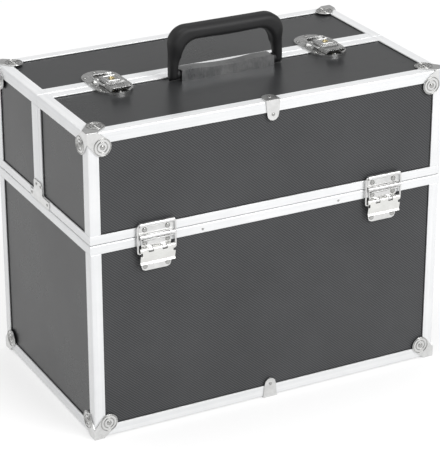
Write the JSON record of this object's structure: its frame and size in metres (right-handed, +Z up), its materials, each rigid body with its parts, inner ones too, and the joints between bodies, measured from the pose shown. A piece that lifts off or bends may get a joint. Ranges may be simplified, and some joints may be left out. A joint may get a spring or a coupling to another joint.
{
  "type": "makeup storage case",
  "caption": "Aluminium-framed makeup case with outward-opening lid halves, stepped cantilever trays, hinge-latches, draw latches and a folding carrying handle.",
  "frame": {"origin": "centre of the rectangle that the case stands on, at floor level", "axes": "+X along the case's length towards its right end, -Y towards the front, +Z up"},
  "size_m": [0.3724, 0.2296, 0.356],
  "materials": {
    "textured_panel": "fine diagonal weave, satin",
    "smooth_panel": "smooth satin",
    "aluminium_rail": "satin anodised",
    "bright_steel": "nickel plated",
    "link_steel": "zinc plated",
    "handle_plastic": "fine grain",
    "tray_plastic": "satin",
    "pad_fabric": "felt",
    "lock_brass": "plated"
  },
  "bodies": {
    "lower_box": {"lower_long_panels": "textured_panel", "lower_end_panels": "smooth_panel", "bottom_panel": "smooth_panel", "lower_corner_posts": "aluminium_rail", "bottom_edge_rails": "aluminium_rail", "lower_rim_rail": "aluminium_rail", "bottom_corner_caps": "bright_steel", "latch_bases": "bright_steel", "latch_pins": "bright_steel", "bottom_edge_clip": "bright_steel", "tray_pivot_brackets": "link_steel", "compartment_pad": "pad_fabric"},
    "front_lid": {"front_lid_panel": "textured_panel", "front_lid_top_panel": "smooth_panel", "front_lid_end_panels": "smooth_panel", "front_lid_edge_rails": "aluminium_rail", "front_lid_rim_rail": "aluminium_rail", "front_lid_centre_rails": "aluminium_rail", "front_lid_corner_steel": "bright_steel", "front_hinge_leaves": "bright_steel", "top_latch_bases": "bright_steel", "handle_base": "bright_steel", "top_edge_clip": "bright_steel", "front_lid_pins": "bright_steel"},
    "rear_lid": {"rear_lid_panel": "textured_panel", "rear_lid_top_panel": "smooth_panel", "rear_lid_end_panels": "smooth_panel", "rear_lid_edge_rails": "aluminium_rail", "rear_lid_rim_rail": "aluminium_rail", "rear_lid_centre_rails": "aluminium_rail", "rear_lid_corner_steel": "bright_steel", "rear_hinge_leaves": "bright_steel", "top_latch_catches": "bright_steel", "rear_lid_pins": "bright_steel"},
    "handle": {"handle_grip": "handle_plastic"},
    "front_latch_lever_left": {"front_latch_lever_left": "bright_steel"},
    "front_latch_bail_left": {"front_latch_bail_left": "bright_steel"},
    "front_latch_lever_right": {"front_latch_lever_right": "bright_steel"},
    "front_latch_bail_right": {"front_latch_bail_right": "bright_steel"},
    "front_tray_arms_outer": {"front_tray_arms_outer": "link_steel"},
    "front_tray_arms_inner": {"front_tray_arms_inner": "link_steel"},
    "front_lower_tray": {"front_lower_tray": "tray_plastic"},
    "front_upper_tray": {"front_upper_tray": "tray_plastic"},
    "front_lid_stays": {"front_lid_stays": "link_steel"},
    "rear_latch_lever_left": {"rear_latch_lever_left": "bright_steel"},
    "rear_latch_bail_left": {"rear_latch_bail_left": "bright_steel"},
    "rear_latch_lever_right": {"rear_latch_lever_right": "bright_steel"},
    "rear_latch_bail_right": {"rear_latch_bail_right": "bright_steel"},
    "rear_tray_arms_outer": {"rear_tray_arms_outer": "link_steel"},
    "rear_tray_arms_inner": {"rear_tray_arms_inner": "link_steel"},
    "rear_lower_tray": {"rear_lower_tray": "tray_plastic"},
    "rear_upper_tray": {"rear_upper_tray": "tray_plastic"},
    "rear_lid_stays": {"rear_lid_stays": "link_steel"},
    "top_latch_lever_left": {"top_latch_lever_left": "bright_steel", "lock_barrel_left": "lock_brass"},
    "top_latch_bail_left": {"top_latch_bail_left": "bright_steel"},
    "top_latch_lever_right": {"top_latch_lever_right": "bright_steel", "lock_barrel_right": "lock_brass"},
    "top_latch_bail_right": {"top_latch_bail_right": "bright_steel"}
  },
  "joints": [
    {"name": "front_lid_hinge", "type": "hinge", "parent": "lower_box", "child": "front_lid", "pos_m": [0, -0.111, 0.1975], "axis": [1, 0, 0], "range_deg": [0, 105]},
    {"name": "front_latch_lever_left_pivot", "type": "hinge", "parent": "lower_box", "child": "front_latch_lever_left", "pos_m": [-0.12, -0.1114, 0.1849], "axis": [-1, 0, 0], "range_deg": [0, 80]},
    {"name": "front_latch_bail_left_pivot", "type": "hinge", "parent": "front_lid", "child": "front_latch_bail_left", "pos_m": [-0.12, -0.1104, 0.2093], "axis": [1, 0, 0], "range_deg": [-105, 0]},
    {"name": "front_latch_lever_right_pivot", "type": "hinge", "parent": "lower_box", "child": "front_latch_lever_right", "pos_m": [0.12, -0.1114, 0.1849], "axis": [-1, 0, 0], "range_deg": [0, 80]},
    {"name": "front_latch_bail_right_pivot", "type": "hinge", "parent": "front_lid", "child": "front_latch_bail_right", "pos_m": [0.12, -0.1104, 0.2093], "axis": [1, 0, 0], "range_deg": [-105, 0]},
    {"name": "front_tray_arms_outer_pivot", "type": "hinge", "parent": "lower_box", "child": "front_tray_arms_outer", "pos_m": [0, -0.095, 0.2035], "axis": [1, 0, 0], "range_deg": [0, 76.65]},
    {"name": "front_tray_arms_inner_pivot", "type": "hinge", "parent": "lower_box", "child": "front_tray_arms_inner", "pos_m": [0, -0.075, 0.2035], "axis": [1, 0, 0], "range_deg": [0, 76.65]},
    {"name": "front_lower_tray_pivot", "type": "hinge", "parent": "front_tray_arms_outer", "child": "front_lower_tray", "pos_m": [0, -0.06436, 0.22921], "axis": [1, 0, 0], "range_deg": [-76.65, 0]},
    {"name": "front_upper_tray_pivot", "type": "hinge", "parent": "front_tray_arms_outer", "child": "front_upper_tray", "pos_m": [0, -0.03295, 0.25557], "axis": [1, 0, 0], "range_deg": [-76.65, 0]},
    {"name": "front_lid_stays_pivot", "type": "hinge", "parent": "front_lid", "child": "front_lid_stays", "pos_m": [0, -0.063, 0.2595], "axis": [1, 0, 0], "range_deg": [-28.33, 0]},
    {"name": "rear_lid_hinge", "type": "hinge", "parent": "lower_box", "child": "rear_lid", "pos_m": [0, 0.111, 0.1975], "axis": [-1, 0, 0], "range_deg": [0, 105]},
    {"name": "rear_latch_lever_left_pivot", "type": "hinge", "parent": "lower_box", "child": "rear_latch_lever_left", "pos_m": [-0.12, 0.1114, 0.1849], "axis": [1, 0, 0], "range_deg": [0, 80]},
    {"name": "rear_latch_bail_left_pivot", "type": "hinge", "parent": "rear_lid", "child": "rear_latch_bail_left", "pos_m": [-0.12, 0.1104, 0.2093], "axis": [-1, 0, 0], "range_deg": [-105, 0]},
    {"name": "rear_latch_lever_right_pivot", "type": "hinge", "parent": "lower_box", "child": "rear_latch_lever_right", "pos_m": [0.12, 0.1114, 0.1849], "axis": [1, 0, 0], "range_deg": [0, 80]},
    {"name": "rear_latch_bail_right_pivot", "type": "hinge", "parent": "rear_lid", "child": "rear_latch_bail_right", "pos_m": [0.12, 0.1104, 0.2093], "axis": [-1, 0, 0], "range_deg": [-105, 0]},
    {"name": "rear_tray_arms_outer_pivot", "type": "hinge", "parent": "lower_box", "child": "rear_tray_arms_outer", "pos_m": [0, 0.095, 0.2035], "axis": [-1, 0, 0], "range_deg": [0, 76.65]},
    {"name": "rear_tray_arms_inner_pivot", "type": "hinge", "parent": "lower_box", "child": "rear_tray_arms_inner", "pos_m": [0, 0.075, 0.2035], "axis": [-1, 0, 0], "range_deg": [0, 76.65]},
    {"name": "rear_lower_tray_pivot", "type": "hinge", "parent": "rear_tray_arms_outer", "child": "rear_lower_tray", "pos_m": [0, 0.06436, 0.22921], "axis": [-1, 0, 0], "range_deg": [-76.65, 0]},
    {"name": "rear_upper_tray_pivot", "type": "hinge", "parent": "rear_tray_arms_outer", "child": "rear_upper_tray", "pos_m": [0, 0.03295, 0.25557], "axis": [-1, 0, 0], "range_deg": [-76.65, 0]},
    {"name": "rear_lid_stays_pivot", "type": "hinge", "parent": "rear_lid", "child": "rear_lid_stays", "pos_m": [0, 0.063, 0.2595], "axis": [-1, 0, 0], "range_deg": [-28.33, 0]},
    {"name": "handle_hinge", "type": "hinge", "parent": "front_lid", "child": "handle", "pos_m": [0, -0.015, 0.3095], "axis": [1, 0, 0], "range_deg": [-80, 80]},
    {"name": "top_latch_lever_left_pivot", "type": "hinge", "parent": "front_lid", "child": "top_latch_lever_left", "pos_m": [-0.114, 0.0008, 0.3092], "axis": [-1, 0, 0], "range_deg": [0, 90]},
    {"name": "top_latch_bail_left_pivot", "type": "hinge", "parent": "top_latch_lever_left", "child": "top_latch_bail_left", "pos_m": [-0.114, -0.0112, 0.3092], "axis": [-1, 0, 0], "range_deg": [-117, 0]},
    {"name": "top_latch_lever_right_pivot", "type": "hinge", "parent": "front_lid", "child": "top_latch_lever_right", "pos_m": [0.114, 0.0008, 0.3092], "axis": [-1, 0, 0], "range_deg": [0, 90]},
    {"name": "top_latch_bail_right_pivot", "type": "hinge", "parent": "top_latch_lever_right", "child": "top_latch_bail_right", "pos_m": [0.114, -0.0112, 0.3092], "axis": [-1, 0, 0], "range_deg": [-117, 0]}
  ],
  "couplings": [
    {"joint": "front_latch_bail_left_pivot", "follows": "front_lid_hinge", "ratio": -1},
    {"joint": "front_latch_bail_right_pivot", "follows": "front_lid_hinge", "ratio": -1},
    {"joint": "front_tray_arms_outer_pivot", "follows": "front_lid_hinge", "ratio": 0.73},
    {"joint": "front_tray_arms_inner_pivot", "follows": "front_lid_hinge", "ratio": 0.73},
    {"joint": "front_lower_tray_pivot", "follows": "front_lid_hinge", "ratio": -0.73},
    {"joint": "front_upper_tray_pivot", "follows": "front_lid_hinge", "ratio": -0.73},
    {"joint": "front_lid_stays_pivot", "follows": "front_lid_hinge", "ratio": -0.2697},
    {"joint": "rear_latch_bail_left_pivot", "follows": "rear_lid_hinge", "ratio": -1},
    {"joint": "rear_latch_bail_right_pivot", "follows": "rear_lid_hinge", "ratio": -1},
    {"joint": "rear_tray_arms_outer_pivot", "follows": "rear_lid_hinge", "ratio": 0.73},
    {"joint": "rear_tray_arms_inner_pivot", "follows": "rear_lid_hinge", "ratio": 0.73},
    {"joint": "rear_lower_tray_pivot", "follows": "rear_lid_hinge", "ratio": -0.73},
    {"joint": "rear_upper_tray_pivot", "follows": "rear_lid_hinge", "ratio": -0.73},
    {"joint": "rear_lid_stays_pivot", "follows": "rear_lid_hinge", "ratio": -0.2697},
    {"joint": "top_latch_bail_left_pivot", "follows": "top_latch_lever_left_pivot", "ratio": -1.3},
    {"joint": "top_latch_bail_right_pivot", "follows": "top_latch_lever_right_pivot", "ratio": -1.3}
  ]
}
